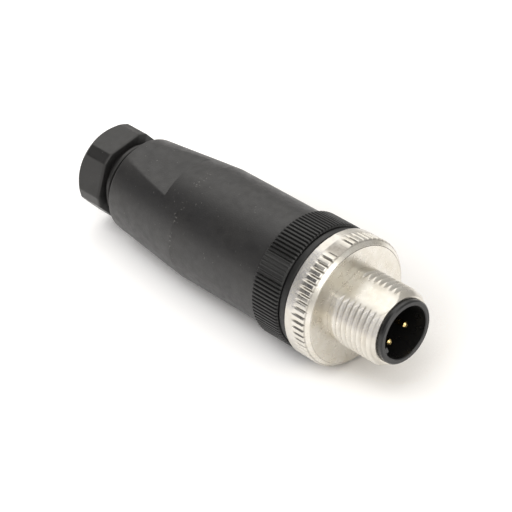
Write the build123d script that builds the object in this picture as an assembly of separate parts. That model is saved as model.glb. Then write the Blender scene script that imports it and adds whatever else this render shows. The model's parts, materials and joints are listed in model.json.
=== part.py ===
"""A straight, field-wireable M12 male connector with four screw terminals.

Every piece is built along +X, where x is the station behind the front rim, and roll angles are
counted about X from the top towards the near side (+Y). The whole connector is then turned so
that its mating end faces +X, laid down on its collar and its grip, and centred over the origin.
"""
from build123d import *
from math import atan2, cos, degrees, radians, sin
import os

# Lengths are in millimetres, angles in degrees.

# General fits
RUNNING_CLEARANCE = 0.05
THREAD_CLEARANCE = 0.1
FACE_GAP = 0.1

# Coupling screw: the nose with the mating thread, and the knurled head
COUPLING_FRONT = 0.6
NOSE_LENGTH = 9.3
THREAD_RADIUS = 6.0
THREAD_END_LENGTH = 0.65
THREAD_END_HEIGHT = 0.8
THREAD_RELIEF_LENGTH = 1.6
THREAD_RELIEF_DEPTH = 0.38
THREAD_FLAT_DEPTH = 0.3
THREAD_FLAT_ROLL = 20.0
HEAD_LENGTH = 4.55
HEAD_RADIUS = 10.1
HEAD_CHAMFER_LENGTH = 0.8
HEAD_CHAMFER_HEIGHT = 0.75
HEAD_REAR_CHAMFER = 0.15
HEAD_WEB = 1.3
HEAD_RIM_WALL = 2.3
HEAD_GROOVES = 60
HEAD_GROOVE_DEPTH = 0.28
HEAD_GROOVE_LENGTH = 2.95
HEAD_FLAT_DEPTH = 0.22
HEAD_FLAT_ROLL = 11.0
THREAD_WALL = 0.95

# Contact carrier: the shroud round the pins, the shoulder and the terminal block
SHROUD_WALL = 0.85
SHROUD_EDGE = 0.2
CAVITY_DEPTH = 9.0
CAVITY_CHAMFER = 0.12
KEY_ROLL = 113.0
KEY_WIDTH = 1.0
KEY_HEIGHT = 0.6
KEY_FRONT = 0.4
BLOCK_OVERHANG = 6.55

# Retaining ring between coupling screw and carrier
RING_SETBACK = 1.0
RING_THICKNESS = 0.8
RING_CATCH = 0.4
RING_SEAT_DEPTH = 0.7
RING_OPENING = 2.0
RING_OPENING_ROLL = 14.0

# Contact pins
PIN_COUNT = 4
PIN_CIRCLE_RADIUS = 2.5
PIN_RADIUS = 0.5
PIN_TIP = 2.1
PIN_TIP_CHAMFER = 0.25
BARREL_LENGTH = 11.5
BARREL_SINK = 0.5
BARREL_RADIUS = 1.4
WIRE_HOLE_RADIUS = 0.7
WIRE_HOLE_DEPTH = 7.5

# Terminal screws
TERMINAL_SETBACK = 4.0
SCREW_RADIUS = 0.95
SCREW_HEAD_RADIUS = 1.45
SCREW_HEAD_SHARE = 0.37
SCREW_SINK = 0.3
SLOT_WIDTH = 0.4
SLOT_SHARE = 0.4

# Knurled collar: smooth band, ribs and the threaded spigot inside the grip
COLLAR_GAP = 0.3
BAND_LENGTH = 1.3
BAND_STEP = 0.4
BAND_CHAMFER = 0.3
RIB_LENGTH = 5.4
RIB_STEP = 0.15
RIB_DEPTH = 0.28
RIB_COUNT = 100
RIB_CHAMFER = 0.2
RIB_FADE_ROLL = 51.0
RIB_FADE_ZONES = 4
RIB_FADE_HALF_ANGLE = 16.0
RIB_FADE_LEAST = 0.12
SPIGOT_WALL = 1.65
SPIGOT_LENGTH = 6.0

# O-ring between collar and grip
O_RING_SECTION = 1.0
O_RING_SETBACK = 1.25
O_RING_SIDE_ROOM = 0.1

# Grip body
GRIP_STEP = 0.67
GRIP_FRONT_WALL = 1.28
GRIP_REAR_WALL = 1.4
GRIP_CYLINDER_LENGTH = 18.45
GRIP_CONE_LENGTH = 16.3
GRIP_NARROWING = 1.58
GRIP_FRONT_EDGE = 0.15
GRIP_REAR_EDGE = 1.0
WRENCH_FLAT_DEPTH = 0.2
WRENCH_LENGTH = 12.4
WRENCH_ROLL = 12.0
CHAMBER_STEP = 0.6
CHAMBER_ROOM = 2.5
CHAMBER_TAPER = 1.75
SEAL_LIP = 1.4
SEAT_ROOM = 1.25

# Cable seal
SEAL_WALL = 2.55
SEAL_LENGTH = 4.9
SEAL_EDGE = 0.4

# Clamp cage
CAGE_WALL = 1.25
CAGE_SIDE_ROOM = 0.3
CAGE_FLANGE_LENGTH = 1.0
CAGE_SPIGOT_LENGTH = 2.4
CAGE_FINGER_LENGTH = 2.8
CAGE_FINGER_WALL = 1.6
CAGE_FINGER_TIP_WALL = 0.9
CAGE_SLOTS = 8
CAGE_SLOT_WIDTH = 0.8

# Pressing screw, and how far it goes in to close the seal on the cable
GLAND_TRAVEL = 2.1
HEX_GAP = 0.2
HEX_LENGTH = 5.6
HEX_SHOULDER = 0.55
HEX_CORNER_SHARE = 1.08
HEX_CORNER_ROLL = 41.0
HEX_CONE_LENGTH = 1.2
HEX_CONE_HEIGHT = 1.0
HEX_REAR_STEP = 0.25
HEX_REAR_EDGE = 1.2
GLAND_THREAD_DEPTH = 0.55
GLAND_PITCH = 1.25
GLAND_CREST = 0.3
GLAND_RELIEF = 0.8
NECK_WALL = 0.65
CABLE_ENTRY_STEP = 1.1
CABLE_ENTRY_LENGTH = 6.5
CABLE_ENTRY_EDGE = 0.6

# Stations that follow, from the front rim to the rear
HEAD_FRONT = COUPLING_FRONT + NOSE_LENGTH
HEAD_REAR = HEAD_FRONT + HEAD_LENGTH
WEB_REAR = HEAD_FRONT + HEAD_WEB
SHOULDER_FRONT = WEB_REAR + FACE_GAP
RING_FRONT = SHOULDER_FRONT + RING_SETBACK
RING_REAR = RING_FRONT + RING_THICKNESS
COLLAR_FRONT = HEAD_REAR + COLLAR_GAP
BAND_REAR = COLLAR_FRONT + BAND_LENGTH
RIBS_REAR = BAND_REAR + RIB_LENGTH
O_RING_STATION = RIBS_REAR + O_RING_SETBACK
SPIGOT_REAR = RIBS_REAR + SPIGOT_LENGTH
BLOCK_REAR = SPIGOT_REAR + BLOCK_OVERHANG
TERMINAL_STATION = BLOCK_REAR - TERMINAL_SETBACK
BARREL_REAR = BLOCK_REAR - BARREL_SINK
BARREL_FRONT = BARREL_REAR - BARREL_LENGTH
GRIP_FRONT = RIBS_REAR + FACE_GAP
GRIP_CONE_FRONT = GRIP_FRONT + GRIP_CYLINDER_LENGTH
GRIP_REAR = GRIP_CONE_FRONT + GRIP_CONE_LENGTH
WRENCH_FRONT = GRIP_REAR - WRENCH_LENGTH
CHAMBER_REAR = BLOCK_REAR + CHAMBER_ROOM
SEAL_FRONT = CHAMBER_REAR + CHAMBER_TAPER + FACE_GAP
SEAL_REAR = SEAL_FRONT + SEAL_LENGTH
SEAT_REAR = SEAL_REAR + SEAT_ROOM
CAGE_TIP = SEAL_REAR + FACE_GAP + GLAND_TRAVEL
CAGE_FLANGE_FRONT = CAGE_TIP + CAGE_FINGER_LENGTH
CAGE_FLANGE_REAR = CAGE_FLANGE_FRONT + CAGE_FLANGE_LENGTH
GLAND_THREAD_FRONT = CAGE_FLANGE_REAR + FACE_GAP
HEX_FRONT = GRIP_REAR + GLAND_TRAVEL + HEX_GAP
HEX_REAR = HEX_FRONT + HEX_LENGTH
CABLE_ENTRY_FRONT = HEX_REAR - CABLE_ENTRY_EDGE - CABLE_ENTRY_LENGTH

# Radii and angles that follow
HEAD_FACE_RADIUS = HEAD_RADIUS - HEAD_CHAMFER_HEIGHT
RING_OUTER_RADIUS = HEAD_RADIUS - HEAD_RIM_WALL - THREAD_CLEARANCE
SHOULDER_RADIUS = RING_OUTER_RADIUS - RING_CATCH
RING_GROOVE_RADIUS = SHOULDER_RADIUS - RING_SEAT_DEPTH
RING_INNER_RADIUS = RING_GROOVE_RADIUS + RUNNING_CLEARANCE
HEAD_BORE = SHOULDER_RADIUS + THREAD_CLEARANCE
NOSE_BORE = THREAD_RADIUS - THREAD_WALL
SHROUD_RADIUS = NOSE_BORE - RUNNING_CLEARANCE
CAVITY_RADIUS = SHROUD_RADIUS - SHROUD_WALL
PIN_ROLLS = [KEY_ROLL + 45 + 360 / PIN_COUNT * number for number in range(PIN_COUNT)]
RIB_RADIUS = HEAD_RADIUS - RIB_STEP
BAND_RADIUS = RIB_RADIUS - BAND_STEP
GRIP_RADIUS = RIB_RADIUS - GRIP_STEP
GRIP_BORE = GRIP_RADIUS - GRIP_FRONT_WALL
SPIGOT_RADIUS = GRIP_BORE - THREAD_CLEARANCE
BLOCK_RADIUS = SPIGOT_RADIUS - SPIGOT_WALL - RUNNING_CLEARANCE
O_RING_GROOVE_RADIUS = GRIP_BORE - O_RING_SECTION - 2 * RUNNING_CLEARANCE
CHAMBER_RADIUS = GRIP_BORE - CHAMBER_STEP
GRIP_REAR_RADIUS = GRIP_RADIUS - GRIP_NARROWING
WRENCH_DISTANCE = GRIP_REAR_RADIUS - WRENCH_FLAT_DEPTH
GLAND_BORE = GRIP_REAR_RADIUS - GRIP_REAR_WALL
GLAND_THREAD_RADIUS = GLAND_BORE - THREAD_CLEARANCE
GLAND_ROOT_RADIUS = GLAND_THREAD_RADIUS - GLAND_THREAD_DEPTH
NECK_BORE = GLAND_ROOT_RADIUS - NECK_WALL
CABLE_ENTRY_RADIUS = NECK_BORE - CABLE_ENTRY_STEP
HEX_DISTANCE = GLAND_THREAD_RADIUS + HEX_SHOULDER
HEX_CORNER_DISTANCE = HEX_DISTANCE * HEX_CORNER_SHARE
HEX_REAR_RADIUS = HEX_DISTANCE - HEX_REAR_STEP
CAGE_FLANGE_RADIUS = GLAND_BORE - CAGE_SIDE_ROOM
CAGE_SPIGOT_RADIUS = NECK_BORE - RUNNING_CLEARANCE
CAGE_BORE = CAGE_SPIGOT_RADIUS - CAGE_WALL
CAGE_FINGER_ROOT = CAGE_BORE + CAGE_FINGER_WALL
CAGE_FINGER_TIP = CAGE_BORE + CAGE_FINGER_TIP_WALL
SEAT_RADIUS = CAGE_FLANGE_RADIUS
SEAL_RADIUS = SEAT_RADIUS - RUNNING_CLEARANCE
SEAL_BORE = SEAL_RADIUS - SEAL_WALL
SEAL_INLET_RADIUS = SEAT_RADIUS - SEAL_LIP

# The connector lies on the rear edge of its collar and on the shoulder of its grip
REST_TILT = degrees(atan2(RIB_RADIUS - GRIP_RADIUS, GRIP_CONE_FRONT - RIBS_REAR))


def turned(*points, rounded=None):
    """A solid turned about the X axis, from its corners as (station, radius).

    rounded gives the radius of each corner that isn't sharp."""
    face = make_face(Polyline(*points, close=True))
    for corner, radius in (rounded or {}).items():
        face = fillet(face.vertices().sort_by_distance((*corner, 0))[0], radius)
    return revolve(face, Axis.X)


def tube(front, rear, inner, outer):
    """A plain ring between two stations."""
    return turned((front, inner), (rear, inner), (rear, outer), (front, outer))


def rod(front, rear, radius):
    """A plain cylinder between two stations."""
    return turned((front, 0), (rear, 0), (rear, radius), (front, radius))


def rolled(shape, roll):
    """A shape made at the top, moved round the axis to its roll angle."""
    return Rot(-roll, 0, 0) * shape


def block_above(front, rear, width, bottom, top):
    """A box at the top of the part, from one distance off the axis to another."""
    centre = ((front + rear) / 2, 0, (bottom + top) / 2)
    return Pos(*centre) * Box(rear - front, width, top - bottom)


def radial_rod(station, bottom, top, radius):
    """A cylinder that points upwards from the axis."""
    return Pos(station, 0, (bottom + top) / 2) * Cylinder(radius, top - bottom)


def toothed_rod(front, rear, count, radius, depth_at, crest_share=0.42, valley_share=0.3):
    """A rod with ribs along it. depth_at gives the depth of the valley at a roll angle."""
    step = 360 / count
    flank = (1 - crest_share - valley_share) / 2
    stops = [0, crest_share, crest_share + flank, 1 - flank]
    points = []
    for number in range(count):
        for index, stop in enumerate(stops):
            roll = (number + stop - crest_share / 2) * step
            valley_depth = depth_at(roll) if index >= 2 else 0
            reach = radius - valley_depth
            points.append((reach * sin(radians(roll)), reach * cos(radians(roll))))
    outline = make_face(Plane.YZ * Polyline(*points, close=True))
    return Pos(front, 0, 0) * extrude(outline, rear - front, dir=(1, 0, 0))


def thread_corners(first_crest, crests, radius, depth, pitch, crest_width):
    """Corners of a thread drawn as rings: each crest between its flanks, from front to rear."""
    flank = (pitch - 2 * crest_width) / 2
    corners = []
    for number in range(crests):
        front_edge = first_crest + number * pitch - crest_width / 2
        rear_edge = front_edge + crest_width
        corners.append((front_edge - flank, radius - depth))
        corners.append((front_edge, radius))
        corners.append((rear_edge, radius))
        corners.append((rear_edge + flank, radius - depth))
    return corners


def angle_between(roll, other):
    """The smallest angle between two roll angles."""
    return abs((roll - other + 180) % 360 - 180)


def head_groove_depth(roll):
    """Depth of the head's grooves, which stop short at the two flats of the parting line."""
    flat_half_angle = degrees(atan2((2 * HEAD_FLAT_DEPTH * HEAD_RADIUS) ** 0.5, HEAD_RADIUS))
    nearest = min(angle_between(roll, HEAD_FLAT_ROLL), angle_between(roll, HEAD_FLAT_ROLL + 180))
    return 0.0 if nearest < flat_half_angle else HEAD_GROOVE_DEPTH


def rib_depth(roll):
    """Depth of the collar's ribs, which fade out towards each line where the mould parts."""
    step = 360 / RIB_FADE_ZONES
    lines = [RIB_FADE_ROLL + step * number for number in range(RIB_FADE_ZONES)]
    nearest = min(angle_between(roll, line) for line in lines)
    share = min(1.0, nearest / RIB_FADE_HALF_ANGLE)
    return RIB_DEPTH * max(RIB_FADE_LEAST, share * share * (3 - 2 * share))


def flats_at(roll, front, rear, distance):
    """Two boxes that cut a pair of flats at a distance from the axis."""
    cutter = block_above(front, rear, 4 * distance, distance, 2 * distance)
    return rolled(cutter, roll) + rolled(cutter, roll + 180)


def make_coupling_screw():
    """The metal screw that draws the connector on: nose, relief, knurled head and its bores."""
    relief_front = HEAD_FRONT - THREAD_RELIEF_LENGTH
    nose = turned(
        (COUPLING_FRONT, 0),
        (COUPLING_FRONT, THREAD_RADIUS - THREAD_END_HEIGHT),
        (COUPLING_FRONT + THREAD_END_LENGTH, THREAD_RADIUS),
        (relief_front, THREAD_RADIUS),
        (relief_front + THREAD_RELIEF_DEPTH, THREAD_RADIUS - THREAD_RELIEF_DEPTH),
        (WEB_REAR, THREAD_RADIUS - THREAD_RELIEF_DEPTH),
        (WEB_REAR, 0),
    )
    nose -= flats_at(THREAD_FLAT_ROLL, 0, HEAD_FRONT, THREAD_RADIUS - THREAD_FLAT_DEPTH)
    groove_rear = HEAD_FRONT + HEAD_GROOVE_LENGTH
    head = toothed_rod(HEAD_FRONT, groove_rear, HEAD_GROOVES, HEAD_RADIUS, head_groove_depth)
    head += rod(groove_rear, HEAD_REAR, HEAD_RADIUS)
    head &= turned(
        (HEAD_FRONT, 0),
        (HEAD_FRONT, HEAD_FACE_RADIUS),
        (HEAD_FRONT + HEAD_CHAMFER_LENGTH, HEAD_RADIUS),
        (HEAD_REAR - HEAD_REAR_CHAMFER, HEAD_RADIUS),
        (HEAD_REAR, HEAD_RADIUS - HEAD_REAR_CHAMFER),
        (HEAD_REAR, 0),
    )
    head -= flats_at(HEAD_FLAT_ROLL, HEAD_FRONT, HEAD_REAR, HEAD_RADIUS - HEAD_FLAT_DEPTH)
    screw = nose + head
    screw -= rod(COUPLING_FRONT, HEAD_REAR, NOSE_BORE)
    screw -= rod(WEB_REAR, HEAD_REAR, HEAD_BORE)
    ring_room_radius = RING_OUTER_RADIUS + THREAD_CLEARANCE
    return screw - rod(RING_FRONT - FACE_GAP, RING_REAR + FACE_GAP, ring_room_radius)


def make_contact_carrier():
    """The insulator: keyed shroud, shoulder for the retaining ring and drilled terminal block."""
    carrier = turned(
        (0, 0),
        (0, SHROUD_RADIUS - SHROUD_EDGE),
        (SHROUD_EDGE, SHROUD_RADIUS),
        (SHOULDER_FRONT, SHROUD_RADIUS),
        (SHOULDER_FRONT, SHOULDER_RADIUS),
        (COLLAR_FRONT, SHOULDER_RADIUS),
        (COLLAR_FRONT, BLOCK_RADIUS),
        (BLOCK_REAR, BLOCK_RADIUS),
        (BLOCK_REAR, 0),
    )
    carrier -= turned(
        (0, 0),
        (0, CAVITY_RADIUS + CAVITY_CHAMFER),
        (CAVITY_CHAMFER, CAVITY_RADIUS),
        (CAVITY_DEPTH, CAVITY_RADIUS),
        (CAVITY_DEPTH, 0),
    )
    key_bottom = CAVITY_RADIUS - KEY_HEIGHT
    key_top = CAVITY_RADIUS + SHROUD_WALL / 2
    carrier += rolled(block_above(KEY_FRONT, CAVITY_DEPTH, KEY_WIDTH, key_bottom, key_top), KEY_ROLL)
    carrier -= tube(RING_FRONT - FACE_GAP, RING_REAR + FACE_GAP, RING_GROOVE_RADIUS, SHOULDER_RADIUS)
    for roll in PIN_ROLLS:
        pin_hole = rod(CAVITY_DEPTH, BARREL_FRONT, PIN_RADIUS + RUNNING_CLEARANCE)
        barrel_hole = rod(BARREL_FRONT, BLOCK_REAR, BARREL_RADIUS + RUNNING_CLEARANCE)
        carrier -= rolled(Pos(0, 0, PIN_CIRCLE_RADIUS) * pin_hole, roll)
        carrier -= rolled(Pos(0, 0, PIN_CIRCLE_RADIUS) * barrel_hole, roll)
        screw_hole_radius = SCREW_HEAD_RADIUS + THREAD_CLEARANCE
        screw_hole = radial_rod(TERMINAL_STATION, PIN_CIRCLE_RADIUS, BLOCK_RADIUS, screw_hole_radius)
        carrier -= rolled(screw_hole, roll)
    return carrier


def make_contact_pin(roll):
    """A turned contact: pin in front, drilled barrel with a threaded cross hole behind."""
    pin = turned(
        (PIN_TIP, 0),
        (PIN_TIP, PIN_RADIUS - PIN_TIP_CHAMFER),
        (PIN_TIP + PIN_TIP_CHAMFER, PIN_RADIUS),
        (BARREL_FRONT, PIN_RADIUS),
        (BARREL_FRONT, BARREL_RADIUS),
        (BARREL_REAR, BARREL_RADIUS),
        (BARREL_REAR, 0),
    )
    pin -= rod(BARREL_REAR - WIRE_HOLE_DEPTH, BARREL_REAR, WIRE_HOLE_RADIUS)
    pin -= radial_rod(TERMINAL_STATION, 0, BARREL_RADIUS, SCREW_RADIUS + RUNNING_CLEARANCE)
    return rolled(Pos(0, 0, PIN_CIRCLE_RADIUS) * pin, roll)


def make_terminal_screw(roll):
    """A slotted screw that stands over its contact and presses on the wire."""
    top = BLOCK_RADIUS - SCREW_SINK
    tip = PIN_CIRCLE_RADIUS + WIRE_HOLE_RADIUS
    head_height = (top - tip) * SCREW_HEAD_SHARE
    seat = top - head_height
    screw = radial_rod(TERMINAL_STATION, seat, top, SCREW_HEAD_RADIUS)
    screw += radial_rod(TERMINAL_STATION, tip, seat, SCREW_RADIUS)
    slot_front = TERMINAL_STATION - SCREW_HEAD_RADIUS
    slot_rear = TERMINAL_STATION + SCREW_HEAD_RADIUS
    slot_depth = head_height * SLOT_SHARE
    screw -= block_above(slot_front, slot_rear, SLOT_WIDTH, top - slot_depth, top)
    return rolled(screw, roll)


def make_retaining_ring():
    """The split ring that keeps the coupling screw on the carrier and lets it turn."""
    ring = tube(RING_FRONT, RING_REAR, RING_INNER_RADIUS, RING_OUTER_RADIUS)
    opening = block_above(RING_FRONT, RING_REAR, RING_OPENING, 0, RING_OUTER_RADIUS)
    return ring - rolled(opening, RING_OPENING_ROLL)


def make_knurled_collar():
    """The ribbed collar: smooth band in front, ribs, and the threaded spigot that the grip takes."""
    ribs = toothed_rod(BAND_REAR, RIBS_REAR, RIB_COUNT, RIB_RADIUS, rib_depth)
    ribs &= turned(
        (BAND_REAR, 0),
        (BAND_REAR, RIB_RADIUS - RIB_CHAMFER),
        (BAND_REAR + RIB_CHAMFER, RIB_RADIUS),
        (RIBS_REAR - RIB_CHAMFER, RIB_RADIUS),
        (RIBS_REAR, RIB_RADIUS - RIB_CHAMFER),
        (RIBS_REAR, 0),
    )
    band = turned(
        (COLLAR_FRONT, 0),
        (COLLAR_FRONT, BAND_RADIUS - BAND_CHAMFER),
        (COLLAR_FRONT + BAND_CHAMFER, BAND_RADIUS),
        (BAND_REAR, BAND_RADIUS),
        (BAND_REAR, 0),
    )
    collar = band + ribs + rod(RIBS_REAR, SPIGOT_REAR, SPIGOT_RADIUS)
    groove_half = O_RING_SECTION / 2 + O_RING_SIDE_ROOM
    collar -= tube(
        O_RING_STATION - groove_half, O_RING_STATION + groove_half, O_RING_GROOVE_RADIUS, SPIGOT_RADIUS
    )
    return collar - rod(COLLAR_FRONT, SPIGOT_REAR, BLOCK_RADIUS + RUNNING_CLEARANCE)


def make_o_ring():
    """The round ring that seals the collar's spigot in the grip."""
    ring_radius = O_RING_GROOVE_RADIUS + RUNNING_CLEARANCE + O_RING_SECTION / 2
    return Pos(O_RING_STATION, 0, 0) * Rot(0, 90, 0) * Torus(ring_radius, O_RING_SECTION / 2)


def make_grip_body():
    """The moulded grip: outer cone with wrench flats, wiring chamber, seal seat and gland bore."""
    outside = turned(
        (GRIP_FRONT, 0),
        (GRIP_FRONT, GRIP_RADIUS - GRIP_FRONT_EDGE),
        (GRIP_FRONT + GRIP_FRONT_EDGE, GRIP_RADIUS),
        (GRIP_CONE_FRONT, GRIP_RADIUS),
        (GRIP_REAR, GRIP_REAR_RADIUS),
        (GRIP_REAR, 0),
        rounded={(GRIP_REAR, GRIP_REAR_RADIUS): min(GRIP_REAR_EDGE, GRIP_REAR_RADIUS - GLAND_BORE)},
    )
    outside -= flats_at(WRENCH_ROLL, WRENCH_FRONT, GRIP_REAR, WRENCH_DISTANCE)
    inside = turned(
        (GRIP_FRONT, 0),
        (GRIP_FRONT, GRIP_BORE),
        (SPIGOT_REAR + FACE_GAP, GRIP_BORE),
        (SPIGOT_REAR + FACE_GAP, CHAMBER_RADIUS),
        (CHAMBER_REAR, CHAMBER_RADIUS),
        (SEAL_FRONT - FACE_GAP, SEAL_INLET_RADIUS),
        (SEAL_FRONT, SEAL_INLET_RADIUS),
        (SEAL_FRONT, SEAT_RADIUS),
        (SEAT_REAR, SEAT_RADIUS),
        (SEAT_REAR, GLAND_BORE),
        (GRIP_REAR, GLAND_BORE),
        (GRIP_REAR, 0),
    )
    return outside - inside


def make_cable_seal():
    """The rubber ring that closes on the cable."""
    return turned(
        (SEAL_FRONT, SEAL_BORE + SEAL_EDGE),
        (SEAL_FRONT + SEAL_EDGE, SEAL_BORE),
        (SEAL_REAR - SEAL_EDGE, SEAL_BORE),
        (SEAL_REAR, SEAL_BORE + SEAL_EDGE),
        (SEAL_REAR, SEAL_RADIUS),
        (SEAL_FRONT, SEAL_RADIUS),
    )


def make_clamp_cage():
    """The slotted cage whose fingers close on the cable as the pressing screw goes in."""
    cage = turned(
        (CAGE_TIP, CAGE_BORE),
        (CAGE_TIP, CAGE_FINGER_TIP),
        (CAGE_FLANGE_FRONT, CAGE_FINGER_ROOT),
        (CAGE_FLANGE_FRONT, CAGE_FLANGE_RADIUS),
        (CAGE_FLANGE_REAR, CAGE_FLANGE_RADIUS),
        (CAGE_FLANGE_REAR, CAGE_SPIGOT_RADIUS),
        (CAGE_FLANGE_REAR + CAGE_SPIGOT_LENGTH, CAGE_SPIGOT_RADIUS),
        (CAGE_FLANGE_REAR + CAGE_SPIGOT_LENGTH, CAGE_BORE),
    )
    for number in range(CAGE_SLOTS):
        slot = block_above(CAGE_TIP, CAGE_FLANGE_FRONT, CAGE_SLOT_WIDTH, 0, CAGE_FINGER_ROOT)
        cage -= rolled(slot, 360 / CAGE_SLOTS * (number + 0.5))
    return cage


def make_pressing_screw():
    """The gland's screw: blunted hexagonal head, coned at the rear, and a hollow threaded neck."""
    corner_turn = Plane.YZ * Rot(0, 0, 90 - HEX_CORNER_ROLL)
    hexagon = corner_turn * RegularPolygon(HEX_DISTANCE, 6, major_radius=False)
    blunting = corner_turn * Rot(0, 0, 30) * RegularPolygon(HEX_CORNER_DISTANCE, 6, major_radius=False)
    head = extrude(hexagon & blunting, HEX_REAR - HEX_FRONT, dir=(1, 0, 0))
    head = Pos(HEX_FRONT, 0, 0) * head
    cone_radius = HEX_REAR_RADIUS + HEX_CONE_HEIGHT
    head &= turned(
        (HEX_FRONT, 0),
        (HEX_FRONT, cone_radius),
        (HEX_REAR - HEX_CONE_LENGTH, cone_radius),
        (HEX_REAR, HEX_REAR_RADIUS),
        (HEX_REAR, 0),
        rounded={(HEX_REAR, HEX_REAR_RADIUS): HEX_REAR_EDGE},
    )
    last_crest = HEX_FRONT - GLAND_RELIEF
    crests = int((last_crest - GLAND_THREAD_FRONT - GLAND_PITCH / 2) / GLAND_PITCH) + 1
    first_crest = last_crest - (crests - 1) * GLAND_PITCH
    neck = turned(
        (GLAND_THREAD_FRONT, 0),
        (GLAND_THREAD_FRONT, GLAND_ROOT_RADIUS),
        *thread_corners(
            first_crest, crests, GLAND_THREAD_RADIUS, GLAND_THREAD_DEPTH, GLAND_PITCH, GLAND_CREST
        ),
        (HEX_FRONT, GLAND_ROOT_RADIUS),
        (HEX_FRONT, 0),
    )
    passage = turned(
        (GLAND_THREAD_FRONT, 0),
        (GLAND_THREAD_FRONT, NECK_BORE),
        (CABLE_ENTRY_FRONT - (NECK_BORE - CABLE_ENTRY_RADIUS), NECK_BORE),
        (CABLE_ENTRY_FRONT, CABLE_ENTRY_RADIUS),
        (HEX_REAR - CABLE_ENTRY_EDGE, CABLE_ENTRY_RADIUS),
        (HEX_REAR, CABLE_ENTRY_RADIUS + CABLE_ENTRY_EDGE),
        (HEX_REAR, 0),
    )
    return head + neck - passage


def build_pieces():
    """Every piece by name, in the building position."""
    pieces = {
        "coupling_screw": make_coupling_screw(),
        "contact_carrier": make_contact_carrier(),
        "retaining_ring": make_retaining_ring(),
        "knurled_collar": make_knurled_collar(),
        "collar_o_ring": make_o_ring(),
        "grip_body": make_grip_body(),
        "cable_seal": make_cable_seal(),
        "clamp_cage": make_clamp_cage(),
        "pressing_screw": make_pressing_screw(),
    }
    for number, roll in enumerate(PIN_ROLLS, start=1):
        pieces[f"contact_pin_{number}"] = make_contact_pin(roll)
        pieces[f"terminal_screw_{number}"] = make_terminal_screw(roll)
    return pieces


def lay_down(pieces):
    """Turn the mating end to +X, tip the part to its rest tilt and centre it over the origin."""
    turn = Rot(0, -REST_TILT, 0) * Rot(0, 0, 180)
    laid = {name: turn * shape for name, shape in pieces.items()}
    box = Compound(children=[Compound(shape.solids()) for shape in laid.values()]).bounding_box()
    shift = Pos(-(box.min.X + box.max.X) / 2, -(box.min.Y + box.max.Y) / 2, -box.min.Z)
    front = (shift * turn).position
    rear = (shift * turn * Pos(HEX_REAR, 0, 0)).position
    print("axis from", front, "to", rear, "tilt", REST_TILT)
    return {name: shift * shape for name, shape in laid.items()}


def main():
    os.makedirs("parts", exist_ok=True)
    for name, shape in lay_down(build_pieces()).items():
        export_step(shape, f"parts/{name}.step")


main()
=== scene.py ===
"""Looks of the M12 connector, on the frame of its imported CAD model.

Pieces are described as the CAD source does: a station in millimetres behind the front rim, a roll
angle about the axis from the top towards the near side, and a distance from the axis.
"""
import json
import math

import bpy
import numpy as np
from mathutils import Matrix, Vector


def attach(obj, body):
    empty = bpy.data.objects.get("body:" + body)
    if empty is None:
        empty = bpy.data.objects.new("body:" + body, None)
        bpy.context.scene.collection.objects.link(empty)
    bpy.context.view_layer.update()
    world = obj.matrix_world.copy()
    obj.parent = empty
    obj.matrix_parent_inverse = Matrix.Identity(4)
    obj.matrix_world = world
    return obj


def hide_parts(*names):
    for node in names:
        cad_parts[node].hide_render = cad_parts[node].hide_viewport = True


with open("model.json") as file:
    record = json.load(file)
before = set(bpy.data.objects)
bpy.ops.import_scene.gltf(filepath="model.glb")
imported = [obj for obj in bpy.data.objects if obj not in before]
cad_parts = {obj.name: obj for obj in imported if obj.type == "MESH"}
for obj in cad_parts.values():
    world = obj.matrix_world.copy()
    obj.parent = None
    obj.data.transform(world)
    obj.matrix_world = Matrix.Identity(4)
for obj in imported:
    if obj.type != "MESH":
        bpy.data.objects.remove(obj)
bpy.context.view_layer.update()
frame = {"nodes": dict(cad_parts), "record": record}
mounts = {mount["name"]: mount for mount in frame["record"]["mounts"]}

# The connector's own axis, in the row frame
RIM = np.array(mounts["contact_face"]["pos_m"])
FORWARD = np.array(mounts["contact_face"]["axis"]) / np.linalg.norm(mounts["contact_face"]["axis"])
UPWARD = np.array([-FORWARD[2], 0.0, FORWARD[0]])
NEARWARD = np.array([0.0, -1.0, 0.0])
MM = 0.001

# Coupling screw
NOSE_FRONT = 0.9
THREAD_RADIUS = 6.0
THREAD_PITCH = 1.0
THREAD_DEPTH = 0.42
THREAD_FRONT_CREST = 0.8
THREAD_END_LENGTH = 1.2
THREAD_END_HEIGHT = 0.7
THREAD_END = 8.7
RELIEF_RADIUS = 5.9
NOSE_BORE = 5.05
THREAD_FLAT = 5.25
THREAD_FLAT_ROLL = 21.0
HEAD_FRONT = 9.9
HEAD_REAR = 14.45
HEAD_RADIUS = 10.1
HEAD_FACE_RADIUS = 9.35
HEAD_BORE = 7.4
HEAD_GROOVES = 60
HEAD_GROOVE_DEPTH = 0.22
HEAD_GROOVE_REAR = 13.2
HEAD_GROOVE_RUN_IN = 1.0
HEAD_GROOVE_HALF_SHARE = 0.24
HEAD_FLAT_DEPTH = 0.22
HEAD_FLAT_ROLL = 11.0
WEB_REAR = 11.2

# Knurled collar
COLLAR_FRONT = 14.75
BAND_REAR = 16.05
BAND_RADIUS = 9.55
RIBS_REAR = 21.45
RIB_RADIUS = 9.95
RIB_COUNT = 100
RIB_DEPTH = 0.3
RIB_FADE_ROLL = 51.0
RIB_FADE_HALF_ANGLE = 16.0
COLLAR_BORE = 6.25
SPIGOT_RADIUS = 7.9
SPIGOT_REAR = 27.45

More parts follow.
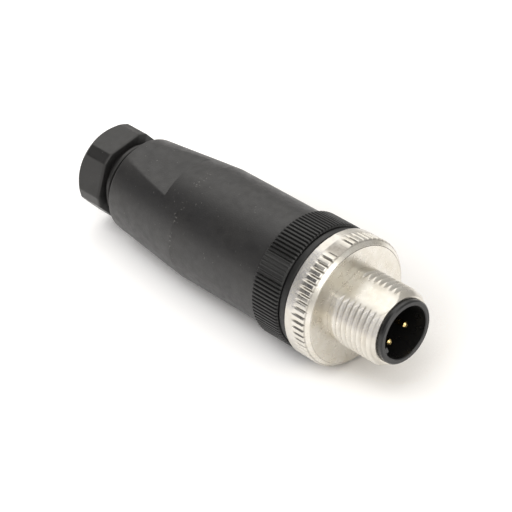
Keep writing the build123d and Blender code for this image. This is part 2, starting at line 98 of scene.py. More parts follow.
# Grip
GRIP_FRONT = 21.55
GRIP_RADIUS = 9.28
GRIP_CONE_FRONT = 40.0
GRIP_CONE_LENGTH = 16.3
GRIP_NARROWING = 1.58
GRIP_REAR = 55.8
GRIP_REAR_RADIUS = 7.7
WRENCH_FRONT = 43.9
WRENCH_DISTANCE = 7.5
WRENCH_ROLL = 12.0
GRIP_BORE = 8.0
CHAMBER_RADIUS = 7.4
CHAMBER_REAR = 36.5
SEAL_FRONT = 38.35
SEAL_INLET = 4.6
SEAT_RADIUS = 6.0
SEAT_REAR = 44.5
GLAND_BORE = 6.3

# Pressing screw
GLAND_FRONT = 49.35
GLAND_THREAD_RADIUS = 6.27
GLAND_THREAD_DEPTH = 0.55
GLAND_PITCH = 1.25
GLAND_CREST = 57.45
HEX_FRONT = 58.6
HEX_REAR = 64.2
HEX_DISTANCE = 6.75
HEX_CORNER_DISTANCE = 7.29
HEX_CORNER_ROLL = 41.0
HEX_CONE_LENGTH = 1.2
HEX_CONE_HEIGHT = 1.0
HEX_REAR_RADIUS = 6.5
HEX_REAR_EDGE = 1.2
NECK_BORE = 5.0
ENTRY_RADIUS = 3.9
ENTRY_FRONT = 57.1


# Shapes

def place(stations, rolls, radii):
    """Points in the row frame, in metres."""
    rolls = np.radians(rolls)
    outward = np.cos(rolls)[..., None] * UPWARD + np.sin(rolls)[..., None] * NEARWARD
    return RIM - stations[..., None] * MM * FORWARD + radii[..., None] * MM * outward


def rounded(corners, segments=5):
    """An outline from its corners as (station, radius, fillet), each fillet drawn as an arc."""
    points = []
    for number, (station, radius, fillet) in enumerate(corners):
        here = np.array([station, radius])
        if not fillet or number in (0, len(corners) - 1):
            points.append(here)
            continue
        before = np.array(corners[number - 1][:2]) - here
        after = np.array(corners[number + 1][:2]) - here
        before_unit, after_unit = before / np.linalg.norm(before), after / np.linalg.norm(after)
        half_angle = math.acos(np.clip(before_unit @ after_unit, -1, 1)) / 2
        reach = min(fillet / math.tan(half_angle), np.linalg.norm(before) / 2, np.linalg.norm(after) / 2)
        start, end = here + before_unit * reach, here + after_unit * reach
        for step in range(segments + 1):
            share = step / segments
            points.append((1 - share) ** 2 * start + 2 * share * (1 - share) * here + share ** 2 * end)
    return np.array(points)


def dense(points, step):
    """The same outline with no run longer than a step."""
    out = [points[0]]
    for start, end in zip(points[:-1], points[1:]):
        count = max(1, math.ceil(np.linalg.norm(end - start) / step))
        out += [start + (end - start) * number / count for number in range(1, count + 1)]
    return np.array(out)


def soft_min(first, second, blend):
    """The smaller of two values, with the corner between them rounded."""
    share = np.clip(0.5 + 0.5 * (second - first) / blend, 0, 1)
    return second * (1 - share) + first * share - blend * share * (1 - share)


def angle_between(roll, other):
    return np.abs((roll - other + 180) % 360 - 180)


def flat_reach(roll, centre, distance):
    """Distance from the axis to a pair of flats, seen at a roll angle."""
    away = np.minimum(angle_between(roll, centre), angle_between(roll, centre + 180))
    return distance / np.cos(np.radians(np.minimum(away, 80)))


class Shell:
    """Grids of points that become one mesh, with the shade painted on each point, mostly darker the deeper
    it lies in a groove.
    """

    def __init__(self):
        self.points, self.faces, self.recess, self.grain = [], [], [], []
        self.count = 0

    def grid(self, stations, rolls, radii, recess=None, grain=None, shift=0):
        """Adds a grid whose columns go round. The last column joins the first one, shift rows on."""
        rows, columns = radii.shape
        self.points.append(place(stations, rolls, radii).reshape(-1, 3))
        for store, values in ((self.recess, recess), (self.grain, grain)):
            store.append(np.zeros(rows * columns) if values is None else np.ravel(values))
        row, column = np.meshgrid(np.arange(rows - 1), np.arange(columns), indexing="ij")
        wraps = column == columns - 1
        next_column = np.where(wraps, 0, column + 1)
        lower = np.where(wraps, np.minimum(row + shift, rows - 1), row)
        upper = np.where(wraps, np.minimum(row + 1 + shift, rows - 1), row + 1)
        corners = [
            row * columns + column,
            (row + 1) * columns + column,
            upper * columns + next_column,
            lower * columns + next_column,
        ]
        self.faces.append(np.stack(corners, axis=-1).reshape(-1, 4) + self.count)
        self.count += rows * columns

    def turn(self, outline, columns, radius=None, recess=None, grain=None):
        """Adds an outline turned about the axis. radius changes it by station, roll and radius."""
        rolls = np.arange(columns) * 360 / columns
        stations, rolls = np.meshgrid(outline[:, 0], rolls, indexing="ij")
        radii = np.repeat(outline[:, 1][:, None], columns, axis=1)
        if radius:
            radii = radius(stations, rolls, radii)
        extra = [values(stations, rolls, radii) if values else None for values in (recess, grain)]
        self.grid(stations, rolls, radii, *extra)

    def helix(self, front, rear, pitch, columns, rows_each, radius, recess, grain=None):
        """Adds a threaded length whose rows follow the thread, so that its crests stay clean."""
        rolls = np.arange(columns) * 360 / columns
        count = math.ceil((rear - front) / pitch * rows_each) + rows_each
        start = front - pitch + np.arange(count + 1) * pitch / rows_each
        stations = np.clip(start[:, None] + pitch * rolls[None, :] / 360, front, rear)
        rolls = np.repeat(rolls[None, :], count + 1, axis=0)
        radii = radius(stations, rolls)
        grained = grain(stations, rolls, radii) if grain else None
        self.grid(stations, rolls, radii, recess(stations, rolls, radii), grained, rows_each)

    def finish(self, name, body, material, replaced, slot):
        """Makes the mesh, puts it on its body and lets it stand for its CAD nodes."""
        mesh = bpy.data.meshes.new(name)
        mesh.from_pydata(np.concatenate(self.points).tolist(), [], np.concatenate(self.faces).tolist())
        # The first attribute holds shade painted into the colour: groove bottoms, step lines and the
        # pressing screw's front face.
        for label, values in (("recess", self.recess), ("grain", self.grain)):
            attribute = mesh.attributes.new(label, "FLOAT", "POINT")
            attribute.data.foreach_set("value", np.concatenate(values))
        piece = bpy.data.objects.new(name, mesh)
        bpy.context.scene.collection.objects.link(piece)
        weld = piece.modifiers.new("weld", "WELD")
        weld.merge_threshold = 0.0002 * MM
        apply_modifiers(piece)
        piece.data.polygons.foreach_set("use_smooth", [True] * len(piece.data.polygons))
        piece.data.set_sharp_from_angle(angle=math.radians(50))
        piece.data.materials.append(material)
        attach(piece, body)
        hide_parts(*replaced)
        return piece


def apply_modifiers(piece):
    bpy.context.view_layer.update()
    evaluated = piece.evaluated_get(bpy.context.evaluated_depsgraph_get())
    mesh = bpy.data.meshes.new_from_object(evaluated)
    piece.modifiers.clear()
    piece.data = mesh


def thread_height(phase, crest, root):
    """Height of a thread from 0 to 1. phase is 0 on the crest; crest and root are half widths."""
    away = np.abs((phase + 0.5) % 1 - 0.5)
    share = np.clip((0.5 - root - away) / (0.5 - root - crest), 0, 1)
    return share * share * (3 - 2 * share) * 0.35 + share * 0.65


# Coupling screw

def nose_radius(station, roll):
    """Outer radius of the threaded nose."""
    phase = (station - THREAD_FRONT_CREST) / THREAD_PITCH - roll / 360
    height = 0.5 * thread_height(phase, 0.09, 0.1) + 0.25 * (1 + np.cos(2 * np.pi * phase))
    fade = np.clip((THREAD_END + 0.35 - station) / 0.5, 0, 1)
    root = THREAD_RADIUS - THREAD_DEPTH
    ground = root + (RELIEF_RADIUS - root) * (1 - fade)
    radius = ground + (THREAD_RADIUS - ground) * height * fade
    slope = THREAD_END_HEIGHT / THREAD_END_LENGTH
    end = THREAD_RADIUS - THREAD_END_HEIGHT + (station - NOSE_FRONT) * slope
    radius = soft_min(radius, end, 0.08)
    return soft_min(radius, flat_reach(roll, THREAD_FLAT_ROLL, THREAD_FLAT), 0.1)


# Painted shade: darker thread valleys away from the flats, and a painted shadow where the nose meets the
# head's face.
def nose_recess(station, roll, radius):
    threaded = np.clip((THREAD_END + 0.3 - station) / 0.3, 0, 1)
    near_flat = np.minimum(
        angle_between(roll, THREAD_FLAT_ROLL), angle_between(roll, THREAD_FLAT_ROLL + 180)
    )
    depth = np.clip((THREAD_RADIUS - 0.05 - radius) / (THREAD_DEPTH - 0.05), 0, 1)
    valleys = 0.2 * depth * threaded * np.clip((near_flat - 12) / 8, 0, 1)
    return np.maximum(valleys, 0.25 * np.clip((station - HEAD_FRONT + 0.12) / 0.08, 0, 1))


def nose_grain(station, roll, radius):
    """The blasted look of the thread where it leaves the flat, on the near side."""
    return 0.7 * np.clip((22 - angle_between(roll, 60)) / 8, 0, 1)


def head_radius(station, roll, radius):
    """Outer radius of the knurled head: grooves that fade out in front of its rear band, and two flats."""
    phase = (roll / 360 * HEAD_GROOVES + 0.5) % 1
    groove = np.clip(1 - np.abs(phase - 0.5) / HEAD_GROOVE_HALF_SHARE, 0, 1)
    groove = groove * groove * (3 - 2 * groove)
    run_in = np.clip((HEAD_GROOVE_REAR - station) / HEAD_GROOVE_RUN_IN, 0, 1)
    land = HEAD_RADIUS - HEAD_GROOVE_DEPTH * groove * run_in
    flat = flat_reach(roll, HEAD_FLAT_ROLL, HEAD_RADIUS - HEAD_FLAT_DEPTH)
    outside = np.where(radius > HEAD_FACE_RADIUS - 0.01, soft_min(land, flat, 0.03), radius)
    return np.minimum(radius, outside)


# Painted shade: darker knurl grooves, and a painted dark line at the step inside the face's edge, stronger
# towards the top and far side.
def head_recess(station, roll, radius):
    inside = (station > HEAD_FRONT + 0.5) & (station < HEAD_GROOVE_REAR)
    grooves = np.where(inside, np.clip((HEAD_RADIUS - 0.06 - radius) / HEAD_GROOVE_DEPTH, 0, 1), 0)
    edge_line = (station < HEAD_FRONT + 0.1) & (np.abs(radius - HEAD_FACE_RADIUS + 0.08) < 0.05)
    far_side = np.clip((60 - angle_between(roll, -20)) / 30, 0, 1)
    return np.maximum(grooves, edge_line * (0.3 + 0.5 * far_side))


def head_grain(station, roll, radius):
    """The rear band is blasted on the near side and smoother elsewhere."""
    band = np.clip((station - HEAD_GROOVE_REAR + 0.6) / 0.4, 0, 1) * (radius > HEAD_BORE + 1)
    side = np.clip((30 - angle_between(roll, 48)) / 6, 0, 1)
    return band * (0.35 + 0.65 * side)


def make_coupling_screw(material):
    shell = Shell()
    shell.helix(
        NOSE_FRONT, THREAD_END + 0.4, THREAD_PITCH, 240, 14, nose_radius, nose_recess, nose_grain
    )
    relief = dense(np.array([[THREAD_END + 0.4, 0], [HEAD_FRONT, 0]]), 0.06)
    shell.turn(
        relief, 240, lambda station, roll, radius: nose_radius(station, roll), nose_recess, nose_grain
    )
    front = np.array([[NOSE_FRONT, 1.0], [NOSE_FRONT, 0.5], [NOSE_FRONT, 0.0]])
    shell.turn(front, 240, front_face_radius)
    bore = np.array([[NOSE_FRONT, NOSE_BORE], [WEB_REAR, NOSE_BORE], [WEB_REAR, HEAD_BORE]])
    bore = np.vstack([bore, [HEAD_REAR - 0.2, HEAD_BORE], [HEAD_REAR, HEAD_BORE + 0.2]])
    shell.turn(bore, 240)
    outline = rounded([
        (HEAD_FRONT, NOSE_BORE + 0.1, 0),
        (HEAD_FRONT, HEAD_FACE_RADIUS - 0.12, 0.03),
        (HEAD_FRONT + 0.07, HEAD_FACE_RADIUS - 0.07, 0.03),
        (HEAD_FRONT + 0.03, HEAD_FACE_RADIUS, 0.05),
        (HEAD_FRONT + 0.8, HEAD_RADIUS, 0.15),
        (HEAD_GROOVE_REAR - HEAD_GROOVE_RUN_IN, HEAD_RADIUS, 0),
        (HEAD_GROOVE_REAR, HEAD_RADIUS, 0),
        (HEAD_REAR - 0.15, HEAD_RADIUS, 0.15),
        (HEAD_REAR, HEAD_RADIUS - 0.2, 0.08),
        (HEAD_REAR, HEAD_BORE + 0.2, 0),
    ])
    shell.turn(dense(outline, 0.22), 720, head_radius, head_recess, head_grain)
    return shell.finish(
        "coupling_screw_detailed", "coupling", material, ["coupling_screw"], "nickel_plate"
    )


def front_face_radius(station, roll, share):
    """Rows from the nose's outer edge to its bore, over its front face."""
    outer = nose_radius(station, roll)
    return NOSE_BORE + (outer - NOSE_BORE) * share


# Knurled collar

def rib_shape(station, roll, radius):
    """The collar's ribs, which fade out where the mould parts."""
    away = np.min([angle_between(roll, RIB_FADE_ROLL + 90 * k) for k in range(4)], axis=0)
    share = np.clip(away / RIB_FADE_HALF_ANGLE, 0, 1)
    strength = np.maximum(0.28, share * share * (3 - 2 * share))
    wave = 0.5 + 0.5 * np.cos(np.radians(roll * RIB_COUNT))
    crest = np.clip(wave * 1.7, 0, 1) ** 0.8
    ribbed = RIB_RADIUS - RIB_DEPTH * strength * (1 - crest)
    ribs = (station > BAND_REAR + 0.05) & (station < RIBS_REAR + 0.01) & (radius > BAND_RADIUS - 0.3)
    return np.where(ribs, np.minimum(radius, ribbed), radius)


# Painted shade: the valleys between the ribs are darker.
def rib_recess(station, roll, radius):
    ribs = (station > BAND_REAR) & (station < RIBS_REAR) & (radius > BAND_RADIUS - 0.3)
    return np.where(ribs, np.clip((RIB_RADIUS - 0.02 - radius) / RIB_DEPTH, 0, 1), 0)


def make_collar(material):
    outline = rounded([
        (COLLAR_FRONT, COLLAR_BORE, 0),
        (COLLAR_FRONT, BAND_RADIUS - 0.3, 0.1),
        (COLLAR_FRONT + 0.3, BAND_RADIUS, 0.15),
        (BAND_REAR - 0.1, BAND_RADIUS, 0.05),
        (BAND_REAR, BAND_RADIUS - 0.18, 0.02),
        (BAND_REAR + 0.06, BAND_RADIUS - 0.18, 0.02),
        (BAND_REAR + 0.06, RIB_RADIUS - 0.22, 0.02),
        (BAND_REAR + 0.28, RIB_RADIUS, 0.06),
        (RIBS_REAR - 0.2, RIB_RADIUS, 0.06),
        (RIBS_REAR, RIB_RADIUS - 0.2, 0.02),
        (RIBS_REAR, SPIGOT_RADIUS, 0),
        (SPIGOT_REAR - 0.3, SPIGOT_RADIUS, 0.05),
        (SPIGOT_REAR, SPIGOT_RADIUS - 0.3, 0),
        (SPIGOT_REAR, COLLAR_BORE, 0),
        (COLLAR_FRONT, COLLAR_BORE, 0),
    ], segments=3)
    shell = Shell()
    shell.turn(dense(outline, 1.2), 1000, rib_shape, rib_recess)
    return shell.finish(
        "knurled_collar_detailed", "insert", material, ["knurled_collar"], "collar_plastic"
    )


# Grip

def grip_shape(station, roll, radius):
    """The grip's wrench flats, its soft edges and the faint line where its cone begins."""
    flat = flat_reach(roll, WRENCH_ROLL, WRENCH_DISTANCE)
    flat = flat + np.clip((WRENCH_FRONT - station) / 0.12, 0, 1) * 4
    outer = radius > GLAND_BORE + 0.3
    line = 0.03 * np.exp(-((station - GRIP_CONE_FRONT + 0.25) / 0.12) ** 2)
    shaped = soft_min(radius - line, flat, 0.12)
    return np.where(outer & (station > WRENCH_FRONT - 0.3), shaped, radius - np.where(outer, line, 0))


def grip_line(station, roll, radius):
    """Where pale dust has caught along the line where the cone begins."""
    return np.exp(-((station - GRIP_CONE_FRONT + 0.25) / 0.4) ** 2) * (radius > GRIP_RADIUS - 0.5)


def cone_radius(station):
    """Radius of the grip's cone, which narrows evenly to the rear."""
    return GRIP_RADIUS - GRIP_NARROWING * (station - GRIP_CONE_FRONT) / GRIP_CONE_LENGTH


def make_grip(material):
    outline = rounded([
        (GRIP_FRONT, GRIP_BORE, 0),
        (GRIP_FRONT, GRIP_RADIUS - 0.15, 0.05),
        (GRIP_FRONT + 0.15, GRIP_RADIUS, 0.1),
        (GRIP_CONE_FRONT, GRIP_RADIUS, 1.5),
        (WRENCH_FRONT - 0.3, cone_radius(WRENCH_FRONT - 0.3), 0),
        (WRENCH_FRONT + 0.3, cone_radius(WRENCH_FRONT + 0.3), 0),
        (GRIP_REAR, GRIP_REAR_RADIUS, 0.35),
        (GRIP_REAR, GLAND_BORE, 0),
    ], segments=8)
    shell = Shell()
    rows = np.vstack([
        dense(outline[outline[:, 0] <= WRENCH_FRONT - 0.2], 1.0),
        dense(np.array([[WRENCH_FRONT - 0.25, 0], [WRENCH_FRONT + 0.15, 0]]), 0.04),
        dense(outline[outline[:, 0] >= WRENCH_FRONT + 0.2], 0.4),
    ])
    cone = cone_radius(rows[:, 0])
    rows[:, 1] = np.where(rows[:, 1] == 0, cone, rows[:, 1])
    shell.turn(rows, 360, grip_shape, grain=grip_line)
    inside = np.array([
        [GRIP_REAR, GLAND_BORE],
        [SEAT_REAR, GLAND_BORE],
        [SEAT_REAR, SEAT_RADIUS],
        [SEAL_FRONT, SEAT_RADIUS],
        [SEAL_FRONT, SEAL_INLET],
        [SEAL_FRONT - 0.1, SEAL_INLET],
        [CHAMBER_REAR, CHAMBER_RADIUS],
        [SPIGOT_REAR + 0.1, CHAMBER_RADIUS],
        [SPIGOT_REAR + 0.1, GRIP_BORE],
        [GRIP_FRONT, GRIP_BORE],
    ])
    shell.turn(inside, 120)
    return shell.finish("grip_body_detailed", "grip", material, ["grip_body"], "grip_plastic")


# Pressing screw

HEX_DOME = rounded([
    (HEX_FRONT, HEX_REAR_RADIUS + 2 * HEX_CONE_HEIGHT, 0),
    (HEX_REAR - HEX_CONE_LENGTH, HEX_REAR_RADIUS + HEX_CONE_HEIGHT, 0),
    (HEX_REAR, HEX_REAR_RADIUS, HEX_REAR_EDGE),
    (HEX_REAR + 0.0001, ENTRY_RADIUS, 0),
], segments=12)


def hex_reach(roll):
    """Distance from the axis to the blunted hexagon."""
    to_corner = (roll - HEX_CORNER_ROLL + 30) % 60 - 30
    flat = HEX_DISTANCE / np.cos(np.radians(30 - np.abs(to_corner)))
    blunt = HEX_CORNER_DISTANCE / np.cos(np.radians(to_corner))
    return soft_min(flat, blunt, 0.05)


def hex_shape(station, roll, share):
    """Rows of the head: share 1 is on its side, and less is inwards over its faces."""
    side = soft_min(hex_reach(roll), np.interp(station, HEX_DOME[:, 0], HEX_DOME[:, 1]), 0.06)
    front_edge = np.clip((HEX_FRONT + 0.1 - station) / 0.1, 0, 1)
    side = side - 0.1 * front_edge
    return np.where(share >= 0.999, side, ENTRY_RADIUS + 0.6 + (side - ENTRY_RADIUS - 0.6) * share)


def gland_thread_radius(station, roll):
    height = thread_height((station - GLAND_CREST) / GLAND_PITCH - roll / 360, 0.2, 0.12)
    fade = np.clip((HEX_FRONT - 0.35 - station) / 0.3, 0, 1)
    lead = np.clip((station - GLAND_FRONT) / 0.8, 0, 1)
    return GLAND_THREAD_RADIUS - GLAND_THREAD_DEPTH * (1 - height * fade * lead)


def make_pressing_screw(material):
    shell = Shell()
    dome_front = HEX_REAR - 1.6
    dome = [(HEX_REAR - 1.6 * (1 - step / 24) ** 1.6, 1.0) for step in range(25)]
    rows = [(HEX_FRONT, 0.0), (HEX_FRONT, 0.999), (HEX_FRONT, 1.0), (HEX_FRONT + 0.1, 1.0)]
    rows += [(station, 1.0) for station in np.linspace(HEX_FRONT + 0.6, dome_front - 0.4, 8)]
    rows += dome + [(HEX_REAR, 0.99), (HEX_REAR, 0.5), (HEX_REAR, 0.0)]
    # The nut's front face gets a painted shadow.
    shell.turn(np.array(rows), 360, hex_shape, lambda station, roll, radius: station < HEX_FRONT + 0.05)
    inside = np.array([
        [HEX_REAR, ENTRY_RADIUS + 0.6],
        [HEX_REAR - 0.3, ENTRY_RADIUS + 0.22],
        [HEX_REAR - 0.6, ENTRY_RADIUS],
        [ENTRY_FRONT, ENTRY_RADIUS],
        [ENTRY_FRONT - NECK_BORE + ENTRY_RADIUS, NECK_BORE],
        [GLAND_FRONT, NECK_BORE],
        [GLAND_FRONT, GLAND_THREAD_RADIUS - GLAND_THREAD_DEPTH],
    ])
    shell.turn(inside, 180)
    # Painted shade, darker towards the thread's roots.
    shell.helix(
        GLAND_FRONT, HEX_FRONT, GLAND_PITCH, 180, 12, gland_thread_radius,
        lambda station, roll, radius: (GLAND_THREAD_RADIUS - radius) / GLAND_THREAD_DEPTH,
    )
    return shell.finish(
        "pressing_screw_detailed", "gland_nut", material, ["pressing_screw"], "gland_plastic"
    )


# Materials

class Graph:
    """Adds nodes to a new material. An input takes a value or another node's output."""

    def __init__(self, name):
        self.material = bpy.data.materials.new(name)
        self.material.use_nodes = True
        self.tree = self.material.node_tree
        self.shader = self.tree.nodes["Principled BSDF"]
        self.place = self.add("ShaderNodeTexCoord").outputs["Object"]

    def add(self, kind, inputs=None, **settings):
        node = self.tree.nodes.new(kind)
        for name, value in settings.items():
            setattr(node, name, value)
        self.feed(node, inputs or {})
        return node

    def feed(self, node, inputs):
        for name, value in inputs.items():
            socket = node.inputs[name]
            if isinstance(value, bpy.types.NodeSocket):
                self.tree.links.new(value, socket)
            else:
                socket.default_value = value

    def noise(self, size_mm, detail=3.0, roughness=0.55):
        """Noise whose patches are about size_mm across."""
        inputs = {
            "Vector": self.place,
            "Scale": 1000 / size_mm,
            "Detail": detail,
            "Roughness": roughness,
        }
        return self.add("ShaderNodeTexNoise", inputs).outputs["Fac"]

    def span(self, value, low, high, to_low=0.0, to_high=1.0):
        """A value's range mapped to another one."""
        inputs = {
            "Value": value, "From Min": low, "From Max": high, "To Min": to_low, "To Max": to_high
        }
        return self.add("ShaderNodeMapRange", inputs).outputs["Result"]

    def maths(self, operation, first, second):
        node = self.add("ShaderNodeMath", {0: first, 1: second}, operation=operation)
        return node.outputs[0]

    def blend(self, share, first, second):
        """A colour between two others."""
        node = self.add("ShaderNodeMix", data_type="RGBA")
        self.feed(node, {"Factor": share})
        for socket, value in ((node.inputs[6], first), (node.inputs[7], second)):
            if isinstance(value, bpy.types.NodeSocket):
                self.tree.links.new(value, socket)
            else:
                socket.default_value = (*value, 1.0)
        return node.outputs[2]

    def attribute(self, name):
        return self.add("ShaderNodeAttribute", attribute_name=name).outputs["Fac"]

    def bump(self, height, depth_mm):
        inputs = {"Height": height, "Strength": 1.0, "Distance": depth_mm * MM}
        return self.add("ShaderNodeBump", inputs).outputs["Normal"]

    def finish(self, **values):
        names = {
            "color": "Base Color", "metallic": "Metallic", "roughness": "Roughness",
            "normal": "Normal", "specular": "Specular IOR Level",
        }
        self.feed(self.shader, {names[key]: value for key, value in values.items()})
        return self.material


def moulded_plastic(name, dark, light, roughness, texture_mm, depth_mm, specks, gloss=0.5):
    """Black moulded plastic: fine texture, faint cloudiness, a little pale dust and painted shade where
    its mesh marks it.
    """
    graph = Graph(name)
    texture = graph.noise(texture_mm, 2.0)
    cloud = graph.noise(5.0, 3.0)
    color = graph.blend(graph.span(cloud, 0.35, 0.65), dark, light)
    # Painted shade: darker where the mesh marks grooves and shaded faces.
    recess = graph.attribute("recess")
    color = graph.blend(graph.maths("MULTIPLY", recess, 0.6), color, (0.004, 0.004, 0.004))
    dust = graph.noise(0.42, 1.0)
    patches = graph.noise(3.0, 2.0)
    caught = graph.maths("MULTIPLY", graph.attribute("grain"), 0.16)
    dust = graph.maths("ADD", dust, caught)
    dust = graph.maths("MULTIPLY", graph.span(dust, specks, specks + 0.05), graph.span(patches, 0.4, 0.6))
    color = graph.blend(graph.maths("MULTIPLY", dust, 0.25), color, (0.4, 0.39, 0.37))
    rough = graph.span(graph.noise(1.2, 2.0), 0.3, 0.7, roughness - 0.05, roughness + 0.07)
    rough = graph.maths("ADD", rough, graph.maths("MULTIPLY", dust, 0.2))
    normal = graph.bump(texture, depth_mm)
    return graph.finish(color=color, roughness=rough, normal=normal, specular=gloss)


def cast_nickel(name):
    """Plated die casting: warm pale metal, soft grain, and painted shade in its grooves."""
    graph = Graph(name)
    recess = graph.attribute("recess")
    grain_mask = graph.attribute("grain")
    cloud = graph.noise(2.2, 3.0)
    pale = graph.blend(graph.span(cloud, 0.35, 0.65), (0.68, 0.645, 0.57), (0.74, 0.715, 0.66))
    # Painted shade: a mottled dark brown in the grooves and thread valleys.
    darkening = graph.maths("MULTIPLY", recess, graph.span(graph.noise(0.6, 2.0), 0.3, 0.7, 0.75, 1.0))
    color = graph.blend(darkening, pale, (0.13, 0.11, 0.095))
    speckle = graph.span(graph.noise(0.22, 2.0), 0.42, 0.6, 0.15, 0.85)
    color = graph.blend(graph.maths("MULTIPLY", grain_mask, speckle), color, (0.54, 0.53, 0.54))
    rough = graph.span(graph.noise(0.9, 2.0), 0.3, 0.7, 0.24, 0.36)
    rough = graph.maths("ADD", rough, graph.maths("MULTIPLY", recess, 0.2))
    rough = graph.maths("ADD", rough, graph.maths("MULTIPLY", grain_mask, 0.16))
    fine = graph.noise(0.2, 2.0)
    coarse = graph.noise(0.7, 2.0)
    height = graph.maths("MULTIPLY", fine, graph.span(grain_mask, 0.0, 1.0, 0.12, 3.0))
    height = graph.maths("ADD", height, graph.maths("MULTIPLY", coarse, 0.12))
    return graph.finish(color=color, metallic=1.0, roughness=rough, normal=graph.bump(height, 0.03))


def plain_metal(name, color, low, high, patch_mm):
    """Small machined or pressed metal parts: faint stains and a satin finish."""
    graph = Graph(name)
    darkening = graph.span(graph.noise(patch_mm, 3.0), 0.3, 0.75)
    shade = graph.blend(darkening, color, tuple(0.72 * value for value in color))
    rough = graph.span(graph.noise(patch_mm / 3, 2.0), 0.3, 0.7, low, high)
    normal = graph.bump(graph.noise(0.12, 2.0), 0.004)
    return graph.finish(color=shade, metallic=1.0, roughness=rough, normal=normal)


def seal_rubber(name):
    graph = Graph(name)
    bloom = graph.span(graph.noise(1.5, 3.0), 0.45, 0.75)
    color = graph.blend(graph.maths("MULTIPLY", bloom, 0.4), (0.018, 0.018, 0.018), (0.06, 0.06, 0.058))
    rough = graph.span(graph.noise(0.8, 2.0), 0.3, 0.7, 0.55, 0.75)
    normal = graph.bump(graph.noise(0.2, 2.0), 0.01)
    return graph.finish(color=color, roughness=rough, normal=normal)


def soften_edges(node, width_mm):
    """Rounds the sharp edges of a CAD node."""
    bevel = frame["nodes"][node].modifiers.new("soft_edges", "BEVEL")
    bevel.width = width_mm * MM
    bevel.segments = 3
    bevel.limit_method = "ANGLE"
    bevel.angle_limit = math.radians(35)
    bevel.use_clamp_overlap = True


def assign(material, *nodes):
    for node in nodes:
        mesh = frame["nodes"][node].data
        mesh.materials.clear()
        mesh.materials.append(material)


# Surroundings

def make_floor():
    """A white surface that takes the shadows.

    To the camera, and in reflections, it also glows a little, less where it is closed in."""
    mesh = bpy.data.meshes.new("floor")
    half = 1.5
    corners = [(-half, -half, 0), (half, -half, 0), (half, half, 0), (-half, half, 0)]
    mesh.from_pydata(corners, [], [(0, 1, 2, 3)])
    floor = bpy.data.objects.new("floor", mesh)
    bpy.context.scene.collection.objects.link(floor)
    material = bpy.data.materials.new("floor_white")
    material.use_nodes = True
    tree = material.node_tree
    tree.nodes.clear()
    paper = tree.nodes.new("ShaderNodeBsdfDiffuse")
    paper.inputs["Color"].default_value = (0.93, 0.915, 0.90, 1)
    glow = tree.nodes.new("ShaderNodeEmission")
    glow.inputs["Color"].default_value = (0.40, 0.40, 0.405, 1)
    # How closed in the floor is counts mostly towards the near side
    leaning = tree.nodes.new("ShaderNodeCombineXYZ")
    leaning.inputs[0].default_value = -0.30
    leaning.inputs[1].default_value = -0.84
    leaning.inputs[2].default_value = 0.45
    openness = tree.nodes.new("ShaderNodeAmbientOcclusion")
    openness.samples = 8
    openness.inputs["Distance"].default_value = 0.04
    lit = tree.nodes.new("ShaderNodeMapRange")
    lit.interpolation_type = "SMOOTHSTEP"
    lit.inputs["From Min"].default_value = 0.64
    lit.inputs["From Max"].default_value = 0.90
    strength = tree.nodes.new("ShaderNodeMath")
    strength.operation = "MULTIPLY"
    path = tree.nodes.new("ShaderNodeLightPath")
    either = tree.nodes.new("ShaderNodeMath")
    either.operation = "MAXIMUM"
    seen = tree.nodes.new("ShaderNodeMath")
    seen.operation = "MAXIMUM"
    both = tree.nodes.new("ShaderNodeAddShader")
    output = tree.nodes.new("ShaderNodeOutputMaterial")
    tree.links.new(path.outputs["Is Camera Ray"], either.inputs[0])
    tree.links.new(path.outputs["Is Glossy Ray"], either.inputs[1])
    tree.links.new(either.outputs[0], seen.inputs[0])
    tree.links.new(path.outputs["Is Transmission Ray"], seen.inputs[1])
    tree.links.new(leaning.outputs[0], openness.inputs["Normal"])
    tree.links.new(openness.outputs["AO"], lit.inputs["Value"])
    tree.links.new(seen.outputs[0], strength.inputs[0])
    tree.links.new(lit.outputs["Result"], strength.inputs[1])
    tree.links.new(strength.outputs[0], glow.inputs["Strength"])
    tree.links.new(paper.outputs[0], both.inputs[0])
    tree.links.new(glow.outputs[0], both.inputs[1])
    tree.links.new(both.outputs[0], output.inputs["Surface"])
    mesh.materials.append(material)


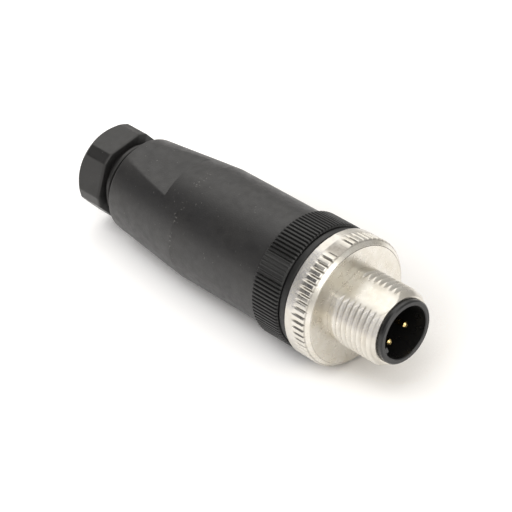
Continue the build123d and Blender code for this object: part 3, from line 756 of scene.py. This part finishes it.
def make_world():
    """A pale room, bright above and beyond the connector and dim on the side at its left."""
    world = bpy.data.worlds.new("studio")
    bpy.context.scene.world = world
    world.use_nodes = True
    tree = world.node_tree
    tree.nodes.clear()
    place_node = tree.nodes.new("ShaderNodeTexCoord")
    split = tree.nodes.new("ShaderNodeSeparateXYZ")
    ramp = tree.nodes.new("ShaderNodeValToRGB")
    ramp.color_ramp.elements[0].position = 0.0
    ramp.color_ramp.elements[0].color = (0.46, 0.445, 0.43, 1)
    ramp.color_ramp.elements[1].position = 0.8
    ramp.color_ramp.elements[1].color = (0.70, 0.69, 0.665, 1)
    toward = tree.nodes.new("ShaderNodeVectorMath")
    toward.operation = "DOT_PRODUCT"
    toward.inputs[1].default_value = Vector((-0.66, -0.58, 0.48)).normalized()
    dim = tree.nodes.new("ShaderNodeMapRange")
    dim.interpolation_type = "SMOOTHSTEP"
    dim.inputs["From Min"].default_value = 0.74
    dim.inputs["From Max"].default_value = 0.96
    shade = tree.nodes.new("ShaderNodeMix")
    shade.data_type = "RGBA"
    shade.inputs[7].default_value = (0.10, 0.10, 0.11, 1)
    back = tree.nodes.new("ShaderNodeBackground")
    output = tree.nodes.new("ShaderNodeOutputWorld")
    tree.links.new(place_node.outputs["Generated"], split.inputs[0])
    tree.links.new(split.outputs["Z"], ramp.inputs[0])
    tree.links.new(place_node.outputs["Generated"], toward.inputs[0])
    tree.links.new(toward.outputs["Value"], dim.inputs["Value"])
    tree.links.new(dim.outputs["Result"], shade.inputs["Factor"])
    tree.links.new(ramp.outputs[0], shade.inputs[6])
    tree.links.new(shade.outputs[2], back.inputs["Color"])
    tree.links.new(back.outputs[0], output.inputs["Surface"])


def make_softbox(name, direction, distance, size, power, color=(1, 1, 1)):
    """A square lamp that faces the connector from a direction."""
    lamp = bpy.data.lights.new(name, "AREA")
    lamp.size = size
    lamp.energy = power
    lamp.color = color
    holder = bpy.data.objects.new(name, lamp)
    toward = Vector(direction).normalized()
    holder.location = toward * distance
    holder.rotation_euler = toward.to_track_quat("Z", "Y").to_euler()
    bpy.context.scene.collection.objects.link(holder)


def make_camera():
    camera = bpy.data.cameras.new("camera")
    camera.sensor_width = 36.0
    camera.lens = 175.78
    camera.clip_start = 0.01
    holder = bpy.data.objects.new("camera", camera)
    holder.location = (0.22203, -0.20878, 0.22499)
    holder.rotation_euler = (math.radians(90 - 35.518), 0, math.radians(136.605 - 90))
    bpy.context.scene.collection.objects.link(holder)
    bpy.context.scene.camera = holder


# Scene

grip_plastic = moulded_plastic(
    "grip_plastic", (0.015, 0.0145, 0.015), (0.019, 0.018, 0.0175), 0.45, 0.22, 0.02, 0.72, 0.65
)
collar_plastic = moulded_plastic(
    "collar_plastic", (0.012, 0.012, 0.012), (0.016, 0.016, 0.0155), 0.42, 0.18, 0.008, 0.74
)
gland_plastic = moulded_plastic(
    "gland_plastic", (0.020, 0.0195, 0.019), (0.024, 0.0235, 0.0225), 0.40, 0.3, 0.004, 0.76
)
carrier_plastic = moulded_plastic(
    "carrier_plastic", (0.008, 0.008, 0.008), (0.011, 0.011, 0.011), 0.30, 0.2, 0.004, 0.80
)
nickel = cast_nickel("nickel_plate")
rubber = seal_rubber("seal_rubber")

make_coupling_screw(nickel)
make_collar(collar_plastic)
make_grip(grip_plastic)
make_pressing_screw(gland_plastic)
assign(carrier_plastic, "contact_carrier")
assign(gland_plastic, "clamp_cage")
assign(rubber, "cable_seal", "collar_o_ring")
assign(plain_metal("spring_steel", (0.62, 0.62, 0.61), 0.22, 0.34, 2.0), "retaining_ring")
gold = plain_metal("gold_plate", (0.90, 0.68, 0.30), 0.16, 0.28, 1.0)
assign(gold, *[f"contact_pin_{number}" for number in range(1, 5)])
steel = plain_metal("screw_steel", (0.66, 0.66, 0.64), 0.25, 0.38, 0.8)
assign(steel, *[f"terminal_screw_{number}" for number in range(1, 5)])

soften_edges("contact_carrier", 0.2)

make_floor()
make_world()
make_softbox("side", (0.10, -0.62, 0.78), 0.7, 0.6, 1.2, (1.0, 0.985, 0.96))
make_softbox("back", (-0.54, 0.27, 0.80), 0.7, 0.66, 1.35, (1.0, 0.985, 0.96))
make_softbox("front", (0.80, -0.20, 0.55), 0.8, 0.5, 1.5, (1.0, 0.99, 0.97))
make_camera()
bpy.context.scene.view_settings.view_transform = "Standard"
